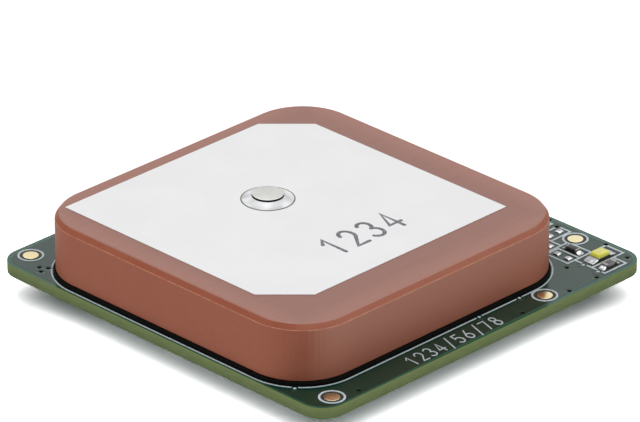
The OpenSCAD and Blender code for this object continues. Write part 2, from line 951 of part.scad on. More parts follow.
module connector_housing() {
    cavity_d = connector_d - connector_back;
    cavity_w = connector_w - 2 * connector_side_wall;
    cavity_h = connector_h - 2 * connector_wall;
    slot_w = contact_w + 2 * slot_play;
    slot_h = contact_t + 2 * slot_play;
    color("ivory")
        difference() {
            underneath(connector_at)
                difference() {
                    translate([0, -connector_w / 2, 0])
                        cube([connector_d, connector_w, connector_h]);
                    translate([-1, -cavity_w / 2, connector_wall])
                        cube([cavity_d + 1, cavity_w, cavity_h]);
                    for (s = [-1, 1])
                        translate([-1, s * (cavity_w - key_w) / 2 - key_w / 2, connector_h / 2])
                            cube([key_depth + 1, key_w, connector_h]);
                }
            at_contacts()
                translate([cavity_d - 1, -slot_w / 2, blade_z - slot_h / 2])
                    cube([connector_back + 2, slot_w, slot_h]);
        }
}

module connector_contacts() {
    back = connector_d + tail_gap;
    color("gold")
        at_contacts()
            rotate([90, 0, 0])
                linear_extrude(contact_w, center = true) {
                    translate([contact_reach, blade_z - contact_t / 2])
                        square([back + contact_t - contact_reach, contact_t]);
                    translate([back, 0])
                        square([contact_t, blade_z + contact_t / 2]);
                    translate([back, 0])
                        square([tail_l, contact_t]);
                }
}

module connector_anchors() {
    from_mouth = 0.6;
    color("silver")
        underneath(connector_at)
            for (s = [0, 1])
                mirror([0, s, 0])
                    translate([from_mouth, connector_w / 2, 0]) {
                        cube([anchor_l, anchor_t, anchor_h]);
                        cube([anchor_l, anchor_foot, anchor_t]);
                    }
}

circuit_board();
silkscreen();
test_pads();
antenna_ceramic();
antenna_electrode();
antenna_ground_plane();
adhesive_pad();
feed_pin();
feed_solder_top();
feed_solder_bottom();
led_base();
led_terminals();
led_lens();
chip_resistor_body();
chip_resistor_ends();
ferrite_bead_body();
ferrite_bead_ends();
solder_fillets();
bare_solder_pads();
shield_fence();
shield_cover();
receiver_chip();
oscillator_base();
oscillator_lid();
watch_crystal_base();
watch_crystal_lid();
saw_filter();
low_noise_amplifier();
flash_memory();
regulator_body();
regulator_leads();
backup_cell();
backup_cell_tabs();
capacitor_bodies();
capacitor_ends();
connector_housing();
connector_contacts();
connector_anchors();
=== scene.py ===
"""Looks of a satellite receiver module: a ceramic patch antenna on a small circuit board."""

import math

import bmesh
import bpy
from mathutils import Matrix, Vector


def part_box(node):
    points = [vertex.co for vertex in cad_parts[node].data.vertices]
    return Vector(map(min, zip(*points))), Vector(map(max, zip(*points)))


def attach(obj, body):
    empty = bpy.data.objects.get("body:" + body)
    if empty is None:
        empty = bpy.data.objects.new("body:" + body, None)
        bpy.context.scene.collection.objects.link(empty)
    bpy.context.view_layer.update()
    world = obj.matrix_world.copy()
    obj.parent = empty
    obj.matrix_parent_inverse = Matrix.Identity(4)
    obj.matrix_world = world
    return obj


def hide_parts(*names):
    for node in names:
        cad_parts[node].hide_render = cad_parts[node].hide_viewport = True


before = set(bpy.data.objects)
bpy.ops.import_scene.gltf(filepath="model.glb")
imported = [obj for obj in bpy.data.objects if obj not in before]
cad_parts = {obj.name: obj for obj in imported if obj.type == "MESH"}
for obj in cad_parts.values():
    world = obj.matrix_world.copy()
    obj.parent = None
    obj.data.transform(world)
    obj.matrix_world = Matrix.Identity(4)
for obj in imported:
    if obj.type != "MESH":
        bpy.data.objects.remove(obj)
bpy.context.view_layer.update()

# Units, and limits for reading the frame's meshes, with turns in radians
MM = 0.001
WELD = 0.0005 * MM
FLAT_TURN = math.radians(0.5)
RIM_TURN = 1.0
SHARP_TURN = math.radians(30)
FOOT_T = 0.06 * MM
HOLE_SPAN = 1 * MM
DOT_SPAN = 0.4 * MM


# Reading the frame
def corners(node):
    """The two corners of a CAD node's box."""
    low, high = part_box(node)
    return Vector(low), Vector(high)


def middle(node):
    """The middle of a CAD node's box."""
    low, high = corners(node)
    return (low + high) / 2


def bounding(points):
    """The two corners of the box round some points."""
    return [Vector([pick(point[axis] for point in points) for axis in range(3)]) for pick in (min, max)]


def welded(node):
    """A CAD node's mesh with its split edges joined and its flat faces whole."""
    mesh = bmesh.new()
    mesh.from_mesh(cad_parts[node].data)
    bmesh.ops.remove_doubles(mesh, verts=mesh.verts, dist=WELD)
    bmesh.ops.dissolve_limit(mesh, angle_limit=FLAT_TURN, verts=mesh.verts, edges=mesh.edges)
    return mesh


def groups(left, neighbours):
    """Splits a set into lists of what hangs together."""
    found = []
    while left:
        queue = [left.pop()]
        group = list(queue)
        while queue:
            near = neighbours(queue.pop()) & left
            left -= near
            group.extend(near)
            queue.extend(near)
        found.append(group)
    return found


def solids(node, level=None):
    """The boxes of a CAD node's separate solids, or of their faces at a level, as two corners each."""
    mesh = welded(node)
    boxes = []
    for group in groups(set(mesh.verts), lambda vert: {edge.other_vert(vert) for edge in vert.link_edges}):
        points = [vert.co.copy() for vert in group]
        if level is not None:
            points = [point for point in points if abs(point.z - level) < FOOT_T]
        if points:
            boxes.append(bounding(points))
    mesh.free()
    return sorted(boxes, key=lambda box: tuple(box[0]))


def holes(node, level):
    """The middles of the small round holes in a flat face of a CAD node at a level."""
    mesh = welded(node)
    rims = [edge for edge in mesh.edges if edge.is_manifold and edge.calc_face_angle() > RIM_TURN]
    flat = {edge for edge in rims if all(abs(vert.co.z - level) < WELD for vert in edge.verts)}
    places = []
    for group in groups(flat, lambda edge: {other for vert in edge.verts for other in vert.link_edges}):
        points = [vert.co for edge in group for vert in edge.verts]
        low, high = bounding(points)
        if (high - low).x < HOLE_SPAN:
            places.append(sum(points, Vector()) / len(points))
    mesh.free()
    return sorted(places, key=tuple)


# Places read from the frame
BOARD_LOW, BOARD_HIGH = corners("circuit_board")
BOARD_HALF = (BOARD_HIGH - BOARD_LOW) / 2
BOARD_TOP = BOARD_HIGH.z
BOARD_UNDER = BOARD_LOW.z
NEAR_CORNER = Vector((BOARD_HIGH.x, BOARD_LOW.y, 0))
CERAMIC_LOW, CERAMIC_HIGH = corners("antenna_ceramic")
ELECTRODE_TOP = corners("antenna_electrode")[1].z
ELECTRODE_AT = middle("antenna_electrode")
LENS_FOOT = corners("led_lens")[0].z
PIN_LOW, PIN_HIGH = corners("feed_pin")
PIN_AT = (PIN_LOW + PIN_HIGH) / 2
HEAD_R = (PIN_HIGH.x - PIN_LOW.x) / 2
RING_LOW, RING_HIGH = corners("feed_solder_top")
RING_R = (RING_HIGH.x - RING_LOW.x) / 2
PADS_AT = [(low + high) / 2 for low, high in solids("test_pads")]
VIAS_AT = holes("circuit_board", BOARD_TOP)
DOTS_AT = [(low + high) / 2 for low, high in solids("silkscreen") if (high - low).length < DOT_SPAN]

# Sizes of the pin and of its solder
PIN_R = 0.45 * MM
PIN_POINT = 0.06 * MM
PIN_PLAY = 0.03 * MM
HEAD_T = 0.05 * MM
HEAD_EDGE = 0.018 * MM
CREST_R = HEAD_R + 0.035 * MM
CREST_DROP = 0.01 * MM
RING_HOLLOW = 1.9

# Sizes of the solder on both faces and of the bare land round it, with spread and climb as shares
SOLDER_REACH = 0.3 * MM
SOLDER_RIM = 0.02 * MM
SOLDER_SPREAD = 1.02
SOLDER_CLIMB = 0.55
PLATE_SPREAD = 0.9
PLATE_CLIMB = 0.8
PAD_CROWN = 0.12 * MM
POOL_CROWN = 0.06 * MM
POOL_MARGIN = 0.16 * MM
LAND_SIDE = 0.2 * MM
LAND_END = 0.45 * MM
MOUND_CORNER = 0.12
DOME_SIDE = 2.6
DOME_CREST = 0.6

# Places of the rows of numbers: in from the board's edges, and from the middle of the silver
BOARD_ROW_IN = 0.95 * MM
BOARD_ROW_ALONG = 12.75 * MM
SILVER_ROW_X = 6.18 * MM
SILVER_ROW_Y = 0.72 * MM

# Camera, solved from the edges of the board and of the block in the photograph
CAMERA_AIM = Vector((1.03, -1.24, 7.08)) * MM
CAMERA_AZIMUTH = 44.83
CAMERA_ELEVATION = 26.51
CAMERA_ROLL = 0.065
CAMERA_DISTANCE = 404.7 * MM
CAMERA_LENS = 351.1
CAMERA_SENSOR = 36
CAMERA_CLIP = 1 * MM

# Lamps: azimuth and elevation in degrees, side in metres, power in watts
LAMP_DISTANCE = 0.6
LAMPS = {
    "lamp_left": (-45, 54, 0.5, 1.42),
    "lamp_front": (45, 45, 0.4, 0.74),
    "lamp_right": (135, 55, 0.5, 1.38),
    "lamp_top": (0, 90, 0.4, 0.76),
}
AMBIENT = 0.13

# Floor: its colour for light and in mirrors, and as the camera sees it by the board, at its tips and far off.
# To the camera it is painted brighter by the board, painted light that lifts the edge of the object's shadow,
# and less bright at the board's tips, a painted shadow there.
FLOOR_SIZE = 3000 * MM
FLOOR_DROP = 0.01 * MM
FLOOR_ALBEDO = 0.95
FLOOR_MIRRORED = 1.0
FLOOR_GAIN = 3.9
FLOOR_TIP_SHADOW_GAIN = 2.3
FLOOR_GAIN_FAR = 1.2
# Where it changes, in millimetres: in from the board's outline, and away from the board's near corner
FLOOR_CLOSE = (-5, -3)
FLOOR_TIP_SHADOW_REACH = (29, 22)


# Node helpers, and how far up or down a face looks between a wall and a level top
WALL_TO_LEVEL = (0.6, 0.8)


class Shader:
    """A material's nodes, with short calls for what the finishes share. Lengths are millimetres."""

    def __init__(self, name):
        self.material = bpy.data.materials.new(name)
        self.material.use_nodes = True
        self.tree = self.material.node_tree
        self.surface = self.tree.nodes["Principled BSDF"]
        self.place = self.vector("SCALE", self.add("ShaderNodeTexCoord").outputs["Object"], scale=1 / MM)

    def add(self, kind, **settings):
        """A new node with some of its settings."""
        node = self.tree.nodes.new(kind)
        for key, value in settings.items():
            setattr(node, key, value)
        return node

    def put(self, socket, value):
        """Links a socket to another node's output, or sets it."""
        if isinstance(value, bpy.types.NodeSocket):
            self.tree.links.new(value, socket)
        else:
            socket.default_value = value

    def set(self, **values):
        """Sets inputs of the surface shader, from constants or from other nodes."""
        for key, value in values.items():
            self.put(self.surface.inputs[key.replace("_", " ")], value)

    def vector(self, operation, first, second=None, scale=None):
        """A sum on vectors."""
        node = self.add("ShaderNodeVectorMath", operation=operation)
        self.put(node.inputs[0], first)
        if second is not None:
            self.put(node.inputs[1], second)
        if scale is not None:
            node.inputs["Scale"].default_value = scale
        return node.outputs["Value" if operation in ("LENGTH", "DISTANCE") else "Vector"]

    def math(self, operation, first, second=0.0):
        """A sum on numbers."""
        node = self.add("ShaderNodeMath", operation=operation)
        self.put(node.inputs[0], first)
        self.put(node.inputs[1], second)
        return node.outputs[0]

    def parts(self, value):
        """The X, Y and Z of a vector."""
        node = self.add("ShaderNodeSeparateXYZ")
        self.put(node.inputs[0], value)
        return node.outputs

    def mix(self, share, first, second):
        """A colour between two others."""
        node = self.add("ShaderNodeMix", data_type="RGBA")
        self.put(node.inputs[0], share)
        self.put(node.inputs[6], first)
        self.put(node.inputs[7], second)
        return node.outputs[2]

    def step(self, value, start, end, low=0.0, high=1.0):
        """Goes smoothly from low to high while value goes from start to end."""
        node = self.add("ShaderNodeMapRange", interpolation_type="SMOOTHSTEP")
        for socket, setting in zip(node.inputs, (value, start, end, low, high)):
            self.put(socket, setting)
        return node.outputs[0]

    def between(self, share, low, high):
        """Goes smoothly from low to high with a share."""
        return self.step(share, 0.0, 1.0, low, high)

    def past(self, value, limit, soft):
        """1 where a value is over a limit and 0 where it is under, with a soft change."""
        return self.step(value, limit - soft, limit + soft)

    def within(self, value, limit, soft):
        """1 where a value is under a limit and 0 where it is over, with a soft change."""
        return self.step(value, limit + soft, limit - soft)

    def vary(self, grain, low, high, spread=0.2):
        """Goes from low to high over the middle range of a grain."""
        return self.step(grain, 0.5 - spread, 0.5 + spread, low, high)

    def tint(self, grain, colours, spread=0.2):
        """Colour that goes from the first to the second of a pair with a grain."""
        return self.mix(self.vary(grain, 0.0, 1.0, spread), *colours)

    def noise(self, size, stretch=(1, 1, 1), detail=3.0):
        """Grain of a size, made longer along an axis by its stretch."""
        node = self.add("ShaderNodeTexNoise")
        where = self.vector("MULTIPLY", self.place, [1 / (size * s) for s in stretch])
        self.put(node.inputs["Vector"], where)
        node.inputs["Scale"].default_value = 1.0
        node.inputs["Detail"].default_value = detail
        return node.outputs[0]

    def bump(self, height, depth, normal=None):
        """Relief whose height runs over a depth."""
        node = self.add("ShaderNodeBump")
        node.inputs["Distance"].default_value = depth * MM
        self.put(node.inputs["Height"], height)
        if normal is not None:
            self.put(node.inputs["Normal"], normal)
        return node.outputs[0]

    def height(self):
        """The height of a place."""
        return self.parts(self.place)["Z"]

    def flat(self):
        """The place in plan."""
        return self.vector("MULTIPLY", self.place, (1, 1, 0))

    def facing(self, kind="True Normal"):
        """The X, Y and Z of the way that a face looks."""
        return self.parts(self.add("ShaderNodeNewGeometry").outputs[kind])

    def upward(self):
        """1 on faces that look straight up or down, 0 on upright walls."""
        return self.step(self.math("ABSOLUTE", self.facing()["Z"]), *WALL_TO_LEVEL)

    def nearest(self, points):
        """Distance in plan to the nearest of some points of the frame."""
        where = self.flat()
        ways = [self.vector("DISTANCE", where, (p.x / MM, p.y / MM, 0)) for p in points]
        near = ways[0]
        for way in ways[1:]:
            near = self.math("MINIMUM", near, way)
        return near

    def beyond(self, low, high):
        """How far a place lies outside a rectangle of the frame in plan, and below 0 inside it."""
        centre = (low + high) / (2 * MM)
        half = (high - low) / (2 * MM)
        away = self.vector("ABSOLUTE", self.vector("SUBTRACT", self.place, (centre.x, centre.y, 0)))
        over = self.parts(self.vector("SUBTRACT", away, (half.x, half.y, 0)))
        return self.math("MAXIMUM", over["X"], over["Y"])

    def rim_distance(self, half, radius):
        """Distance in from the outline of a rounded rectangle about the origin."""
        reach = (half.x - radius, half.y - radius, 0)
        over = self.vector("SUBTRACT", self.vector("ABSOLUTE", self.flat()), reach)
        outside = self.vector("LENGTH", self.vector("MAXIMUM", over, (0, 0, 0)))
        across = self.parts(over)
        inside = self.math("MINIMUM", self.math("MAXIMUM", across["X"], across["Y"]), 0.0)
        return self.math("SUBTRACT", radius, self.math("ADD", outside, inside))


def srgb(red, green, blue):
    """A linear colour from the numbers of a screen colour."""
    def linear(value):
        share = value / 255
        return share / 12.92 if share <= 0.04045 else ((share + 0.055) / 1.055) ** 2.4
    return (linear(red), linear(green), linear(blue), 1.0)


# Circuit board finish, with lengths in millimetres
MASK_ON_COPPER = srgb(3, 51, 40), srgb(18, 52, 39)
MASK_ON_LAMINATE = srgb(12, 79, 57)
MASK_HOLLOW = srgb(6, 18, 13)
BARE_BOARD = srgb(12, 22, 16), srgb(36, 48, 38)
LAMINATE = srgb(89, 104, 64), srgb(109, 124, 84)
LAMINATE_PALE_TOP = srgb(130, 146, 91)
HOLE_WALL_SHADE = srgb(20, 24, 20)
HOLE_INSET = 0.15
BOARD_CORNER_R = 1.65
COPPER_PULLBACK = 0.26
# Painted shade: copper comes nearer the rim by the near corner, narrowing the pale strip of mask there
COPPER_SHADE_SKEW = 0.12
SHADE_SKEW_REACH = (16, 5)
PAD_CLEARANCE_R = 0.73
MASK_EDGE = 0.02
MOAT_INNER_R = 0.34
MOAT_OUTER_R = 0.44
MOAT_SHARE = 0.6
COLLAR_R = 0.25
FACE_MARGIN = 0.2
LIP_AND_SHADE_SHARE = 0.55
MASK_ROUGH = 0.17
BARE_ROUGH = 0.6
LAMINATE_ROUGH = 0.7
MASK_SPECULAR = 0.48
LAMINATE_SPECULAR = 0.15
SOLDERED_ENDS = ("led_terminals", "chip_resistor_ends", "ferrite_bead_ends")


def land(node):
    """Rectangle of bare board round a chip's solder."""
    low, high = corners(node)
    along_y = (high - low).y > (high - low).x
    grow = Vector((LAND_SIDE, LAND_END, 0)) if along_y else Vector((LAND_END, LAND_SIDE, 0))
    return low - grow, high + grow


def copper_under_mask(look, inset):
    """1 where copper lies under the mask. By the near corner it comes nearer the rim, painted shade that
    narrows the pale strip of mask there.
    """
    shade_skew = look.step(look.nearest([NEAR_CORNER]), *SHADE_SKEW_REACH, 0.0, COPPER_SHADE_SKEW)
    return look.past(look.math("ADD", inset, shade_skew), COPPER_PULLBACK, soft=0.03)


def mask_openings(look):
    """Where the top has no mask, round pads and chips, and the moats round the printed dots."""
    opening = look.within(look.nearest(PADS_AT), PAD_CLEARANCE_R, MASK_EDGE)
    for node in SOLDERED_ENDS:
        opening = look.math("MAXIMUM", opening, look.within(look.beyond(*land(node)), 0.0, MASK_EDGE))
    out = look.nearest(DOTS_AT)
    moat = look.math("MULTIPLY", look.past(out, MOAT_INNER_R, MASK_EDGE),
                     look.within(out, MOAT_OUTER_R, MASK_EDGE))
    above = look.step(look.height(), BOARD_UNDER / MM + FACE_MARGIN, BOARD_TOP / MM - FACE_MARGIN)
    return [look.math("MULTIPLY", above, share) for share in (opening, moat)]


def mask_colour(look, copper, opening, moat):
    """Colour of the board's faces."""
    pour = look.tint(look.noise(size=1.6), MASK_ON_COPPER, spread=0.15)
    mask = look.mix(copper, MASK_ON_LAMINATE, pour)
    mask = look.mix(look.math("MULTIPLY", moat, MOAT_SHARE), mask, MASK_HOLLOW)
    weave = look.noise(size=0.09, stretch=(8, 1, 1))
    return look.mix(opening, mask, look.tint(weave, BARE_BOARD, spread=0.15))


def laminate_colour(look):
    """Colour of the board's walls, streaked by the glass fibre and paler towards the top: a lip of mask at
    the top, and painted shade that darkens them towards the floor.
    """
    fibre = look.noise(size=0.05, stretch=(20, 20, 1))
    # A lip of mask at the top, and painted shade that darkens the walls towards the floor
    lip_and_shade = look.step(look.height(), BOARD_UNDER / MM, BOARD_TOP / MM, 0.0, LIP_AND_SHADE_SHARE)
    return look.mix(lip_and_shade, look.tint(fibre, LAMINATE), LAMINATE_PALE_TOP)


def board_finish():
    """Green solder mask over copper, bare round the pads, with the laminate showing on the walls."""
    look = Shader("board_finish")
    inset = look.rim_distance(BOARD_HALF / MM, BOARD_CORNER_R)
    copper = copper_under_mask(look, inset)
    opening, moat = mask_openings(look)
    mask = mask_colour(look, copper, opening, moat)
    # Painted shade: the walls of the holes are near black
    wall = look.mix(look.past(inset, HOLE_INSET, soft=0.05), laminate_colour(look), HOLE_WALL_SHADE)
    top = look.upward()
    look.set(Base_Color=look.mix(top, wall, mask), IOR=1.5)
    look.set(Specular_IOR_Level=look.between(top, LAMINATE_SPECULAR, MASK_SPECULAR))
    gloss = look.math("MULTIPLY", look.between(opening, MASK_ROUGH, BARE_ROUGH), top)
    look.set(Roughness=look.math("ADD", gloss, look.between(top, LAMINATE_ROUGH, 0.0)))
    collar = look.within(look.nearest(VIAS_AT), COLLAR_R, soft=0.05)
    level = look.math("SUBTRACT", look.math("SUBTRACT", copper, opening), look.math("ADD", moat, collar))
    ripple = look.bump(look.noise(size=0.35), depth=0.004)
    look.set(Normal=look.bump(level, depth=0.02, normal=ripple))
    return look.material


# Ceramic finish, with lengths in millimetres
CERAMIC = srgb(148, 82, 60), srgb(155, 89, 67)
CERAMIC_LIT_WALL = srgb(163, 93, 69)
CERAMIC_PAINTED_SHEEN = srgb(172, 130, 115)
CERAMIC_SPECK = srgb(116, 62, 46)
CERAMIC_TOP = srgb(130, 88, 76), srgb(149, 100, 86)
CERAMIC_EDGE_HIGHLIGHT = srgb(192, 132, 105)
WALL_FACING = (0.72, 0.99)
LIT_WALL_SHARE = 0.8
SHEEN_SHARE = (0.2, 0.5)
SPECK_RANGE = (0.55, 0.8)
SPECK_SHARE = 0.25
TOP_SHARE = 0.8
TOP_BORDER = (-2.4, -0.3)
BEVEL_DROP = 0.4
BEVEL_FACING = (-0.55, -0.68)
BEVEL_GLOSS = 0.35
HIGHLIGHT_WIDTH = (0.05, 0.015)
HIGHLIGHT_RANGE = (0.3, 0.65)
HIGHLIGHT_LEAST = 0.35
TOP_ROUGH = (0.34, 0.46)
WALL_ROUGH = (0.5, 0.62)
TOP_SPECULAR = 0.7
WALL_SPECULAR = 0.3


def ceramic_walls(look, facing, speck):
    """Colour of the ceramic's sides, with fine specks. The flat sides carry painted light, lighter than the
    rounded corners, and those that face along X a painted sheen that grows towards the top.
    """
    along_x, along_y = [look.step(look.math("ABSOLUTE", facing[axis]), *WALL_FACING) for axis in "XY"]
    # Painted light: the flat sides are made lighter than the rounded corners
    flat = look.math("MULTIPLY", look.math("MAXIMUM", along_x, along_y), LIT_WALL_SHARE)
    body = look.mix(flat, look.tint(look.noise(size=3.0), CERAMIC), CERAMIC_LIT_WALL)
    # Painted sheen: sides that face along X go paler and greyer towards the top
    painted_sheen = look.step(look.height(), CERAMIC_LOW.z / MM, CERAMIC_HIGH.z / MM, *SHEEN_SHARE)
    body = look.mix(look.math("MULTIPLY", along_x, painted_sheen), body, CERAMIC_PAINTED_SHEEN)
    return look.mix(look.step(speck, *SPECK_RANGE, 0.0, SPECK_SHARE), body, CERAMIC_SPECK)


def ceramic_finish():
    """Pressed and fired ceramic: a ground top with fine lines, and duller sides with a painted highlight
    along the lower edge of the bevel.
    """
    look = Shader("ceramic_finish")
    top = look.upward()
    facing = look.facing()
    speck = look.noise(size=0.12, detail=4.0)
    lines = look.noise(size=0.09, stretch=(1, 60, 1))
    crown = look.mix(look.step(look.beyond(CERAMIC_LOW, CERAMIC_HIGH), *TOP_BORDER), *CERAMIC_TOP)
    body = look.mix(look.math("MULTIPLY", top, TOP_SHARE), ceramic_walls(look, facing, speck), crown)
    below = look.math("SUBTRACT", CERAMIC_HIGH.z / MM - BEVEL_DROP, look.height())
    # Painted highlight: a pale line along the lower edge of the bevel, broken up by grain
    edge = look.step(look.math("ABSOLUTE", below), *HIGHLIGHT_WIDTH)
    edge_highlight = look.math("MULTIPLY", edge, look.step(look.noise(size=0.4), *HIGHLIGHT_RANGE, HIGHLIGHT_LEAST, 1.0))
    look.set(Base_Color=look.mix(edge_highlight, body, CERAMIC_EDGE_HIGHLIGHT), IOR=1.5)
    ground = look.math("MULTIPLY", top, look.vary(lines, *TOP_ROUGH))
    fired = look.math("MULTIPLY", look.math("SUBTRACT", 1.0, top), look.vary(speck, *WALL_ROUGH))
    look.set(Roughness=look.math("ADD", ground, fired))
    bevel = look.math("MULTIPLY", look.within(below, 0.0, soft=0.02), look.step(facing["Y"], *BEVEL_FACING))
    sheen = look.between(top, WALL_SPECULAR, TOP_SPECULAR)
    look.set(Specular_IOR_Level=look.math("MULTIPLY", sheen, look.between(bevel, 1.0, BEVEL_GLOSS)))
    grain = look.bump(speck, depth=0.006)
    look.set(Normal=look.bump(look.math("MULTIPLY", lines, top), depth=0.004, normal=grain))
    return look.material


# Solder finishes, with lengths in millimetres
SOLDER_SLOPE = srgb(162, 162, 166), srgb(200, 200, 204)
SOLDER_LEVEL = srgb(150, 150, 155), srgb(206, 206, 210)
LEVEL_FACING = (0.9, 0.995)
SOLDER_ROUGH = (0.2, 0.34)
RING_METAL = srgb(176, 177, 178), srgb(208, 209, 210)
RING_RIM_LINE = srgb(112, 110, 96)
RING_GAP_SHADE = srgb(30, 28, 25)
RIM_LINE_START = 0.09
RIM_LINE_FULL = 0.06
GAP_SHADE_SOFT = 0.02
RING_ROUGH = (0.6, 0.72)
GAP_SHADE_ROUGH = 0.5


def solder_finish():
    """Bright solder, greyer on its level crowns."""
    look = Shader("solder_finish")
    level = look.step(look.math("ABSOLUTE", look.facing("Normal")["Z"]), *LEVEL_FACING)
    mark = look.noise(size=0.28, detail=2.0)
    colour = look.mix(level, look.tint(mark, SOLDER_SLOPE), look.tint(mark, SOLDER_LEVEL))
    look.set(Base_Color=colour, Metallic=1.0)
    look.set(Roughness=look.vary(mark, *SOLDER_ROUGH), Normal=look.bump(mark, depth=0.03))
    return look.material


def ring_finish():
    """Solder ring round the feed pin, with a thin olive-grey line along its rim and painted shade in the gap
    under the pin's head.
    """
    look = Shader("ring_finish")
    out = look.nearest([PIN_AT])
    rim = RING_R / MM
    rim_line = look.step(out, rim - RIM_LINE_START, rim - RIM_LINE_FULL)
    # Painted shade: a dark ring in the gap under the pin's head
    gap_shade = look.within(out, CREST_R / MM - GAP_SHADE_SOFT, GAP_SHADE_SOFT)
    wave = look.noise(size=1.2, detail=1.0)
    metal = look.mix(rim_line, look.tint(wave, RING_METAL), RING_RIM_LINE)
    look.set(Base_Color=look.mix(gap_shade, metal, RING_GAP_SHADE), Specular_IOR_Level=0.1)
    look.set(Metallic=look.between(look.math("MAXIMUM", rim_line, gap_shade), 1.0, 0.0))
    look.set(Roughness=look.math("ADD", look.vary(wave, *RING_ROUGH), look.math("MULTIPLY", gap_shade, GAP_SHADE_ROUGH)))
    look.set(Normal=look.bump(wave, depth=0.004))
    return look.material


# Finishes of the lens, the resistor and the silver, with lengths in millimetres
LENS_SIDE_LIT = srgb(244, 236, 78), srgb(249, 243, 108)
LENS_TOP = srgb(222, 211, 112), srgb(234, 225, 136)
LENS_PALE_FOOT = srgb(244, 238, 180)
LENS_FOOT_T = 0.035
LENS_DEPTH = (0.5, 0.45, 0.15)
RESISTOR_GLAZE = srgb(58, 56, 58), srgb(76, 74, 76)
RESISTOR_CHIP = srgb(138, 139, 140), srgb(158, 159, 160)
GLAZE_ROUGH = 0.35
CHIP_ROUGH = 0.6
SILVER = srgb(231, 231, 232), srgb(234, 234, 235)
SILVER_ROUGH = (0.55, 0.66)


def lens_finish():
    """Clear resin over a yellow layer, paler on its flat top, with painted light that makes its sides a
    brighter yellow.
    """
    look = Shader("lens_finish")
    milk = look.noise(size=0.3)
    # Painted light: the sides are given a brighter yellow for light that they don't get
    resin = look.mix(look.upward(), look.tint(milk, LENS_SIDE_LIT), look.tint(milk, LENS_TOP))
    foot = look.within(look.height(), LENS_FOOT / MM + LENS_FOOT_T, soft=0.015)
    look.set(Base_Color=look.mix(foot, resin, LENS_PALE_FOOT), Roughness=0.28)
    look.set(Subsurface_Weight=1.0, Subsurface_Scale=1.0)
    look.set(Subsurface_Radius=[depth * MM for depth in LENS_DEPTH])
    look.set(Normal=look.bump(milk, depth=0.01))
    return look.material


def resistor_finish():
    """Dark glaze on top of a pale ceramic chip."""
    look = Shader("resistor_finish")
    mark = look.noise(size=0.1, detail=4.0)
    top = look.upward()
    look.set(Base_Color=look.mix(top, look.tint(mark, RESISTOR_CHIP), look.tint(mark, RESISTOR_GLAZE)))
    look.set(Roughness=look.between(top, CHIP_ROUGH, GLAZE_ROUGH), Normal=look.bump(mark, depth=0.006))
    return look.material


def silver_finish():
    """Printed and fired silver, matt and nearly white."""
    look = Shader("silver_finish")
    grain = look.noise(size=0.07, detail=5.0)
    look.set(Base_Color=look.tint(look.noise(size=4.0), SILVER), Metallic=0.15, Specular_IOR_Level=0.2)
    look.set(Roughness=look.vary(grain, *SILVER_ROUGH), Normal=look.bump(grain, depth=0.004))
    return look.material


# Finishes shared by several parts: size of the tones in grains, and swing of the roughness
METAL_TONE = 8
METAL_SWING = (0.8, 1.25)
MOULDED_TONE = 6
MOULDED_SWING = (0.85, 1.15)


def ink_finish(name, colours, roughness):
    """Printed ink, a little thin in places."""
    look = Shader(name)
    look.set(Base_Color=look.tint(look.noise(size=0.12), colours, spread=0.15), Roughness=roughness)
    look.set(Normal=look.bump(look.noise(size=0.06), depth=0.006), Specular_IOR_Level=0.3)
    return look.material


def metal_finish(name, colours, roughness, grain=0.2, depth=0.004, stretch=(1, 1, 1)):
    """Metal with a fine grain in its colour, gloss and relief."""
    look = Shader(name)
    mark = look.noise(grain, stretch=stretch, detail=4.0)
    look.set(Base_Color=look.tint(look.noise(METAL_TONE * grain), colours), Metallic=1.0)
    low, high = [roughness * share for share in METAL_SWING]
    look.set(Roughness=look.vary(mark, low, high), Normal=look.bump(mark, depth))
    return look.material


def moulded_finish(name, colours, roughness, grain=0.15, depth=0.008, stretch=(1, 1, 1), sheen=0.5):
    """Moulded plastic, epoxy or coated ceramic with a fine texture."""
    look = Shader(name)
    mark = look.noise(grain, stretch=stretch, detail=4.0)
    look.set(Base_Color=look.tint(look.noise(MOULDED_TONE * grain), colours), Specular_IOR_Level=sheen)
    low, high = [roughness * share for share in MOULDED_SWING]
    look.set(Roughness=look.vary(mark, low, high), Normal=look.bump(mark, depth))
    return look.material


